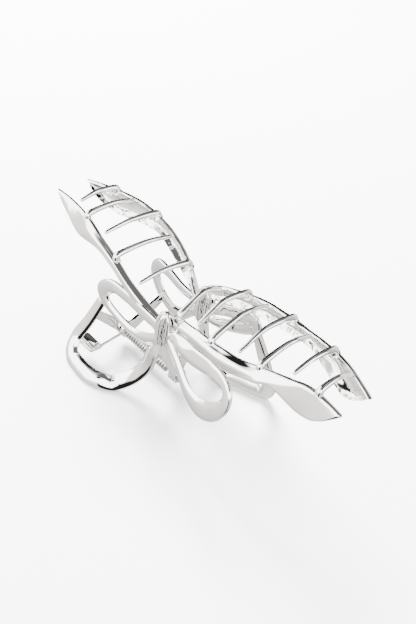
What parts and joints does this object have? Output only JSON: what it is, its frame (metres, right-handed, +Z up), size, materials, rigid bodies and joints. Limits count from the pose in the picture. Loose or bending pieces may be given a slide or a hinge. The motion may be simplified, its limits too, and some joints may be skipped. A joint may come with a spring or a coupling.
{
  "type": "alligator hair clip",
  "caption": "Polished silver alligator hair clip shaped as two open ribbon bows that hinge apart on a sprung pin, with arched teeth and finger rings.",
  "frame": {"origin": "on the surface that the clip stands on, midway between its ribbon tips along X and in the plane between the two bows", "axes": "+X along the hinge pin towards the cut ribbon ends, +Y from the near bow to the far bow, +Z up, away from the finger rings towards the teeth"},
  "size_m": [0.1113, 0.0394, 0.0444],
  "materials": {
    "polished_silver": "mirror polished plating over cast alloy",
    "spring_steel": "bright drawn wire"
  },
  "bodies": {
    "near_bow": {"near_tail_left": "polished_silver", "near_tail_right": "polished_silver", "near_knot": "polished_silver", "near_long_loop": "polished_silver", "near_short_loop": "polished_silver", "near_finger_ring": "polished_silver", "near_spring_tab": "polished_silver", "near_arm_left": "polished_silver", "near_arm_right": "polished_silver", "near_tooth_1": "polished_silver", "near_tooth_2": "polished_silver", "near_tooth_3": "polished_silver", "near_tooth_4": "polished_silver", "near_tooth_5": "polished_silver", "near_tooth_6": "polished_silver", "hinge_pin": "spring_steel", "spring_coil": "spring_steel"},
    "far_bow": {"far_tail_left": "polished_silver", "far_tail_right": "polished_silver", "far_knot": "polished_silver", "far_long_loop": "polished_silver", "far_short_loop": "polished_silver", "far_finger_ring": "polished_silver", "far_spring_stop": "polished_silver", "far_arm_left": "polished_silver", "far_arm_right": "polished_silver", "far_tooth_1": "polished_silver", "far_tooth_2": "polished_silver", "far_tooth_3": "polished_silver", "far_tooth_4": "polished_silver", "far_tooth_5": "polished_silver", "far_tooth_6": "polished_silver", "spring_far_leg": "spring_steel"}
  },
  "joints": [
    {"name": "jaw_hinge", "type": "hinge", "parent": "near_bow", "child": "far_bow", "pos_m": [-0.015, 0, 0.005], "axis": [-1, 0, 0], "range_deg": [0, 60], "stiffness_Nm_per_rad": 0.022, "springref_deg": -91.67}
  ]
}
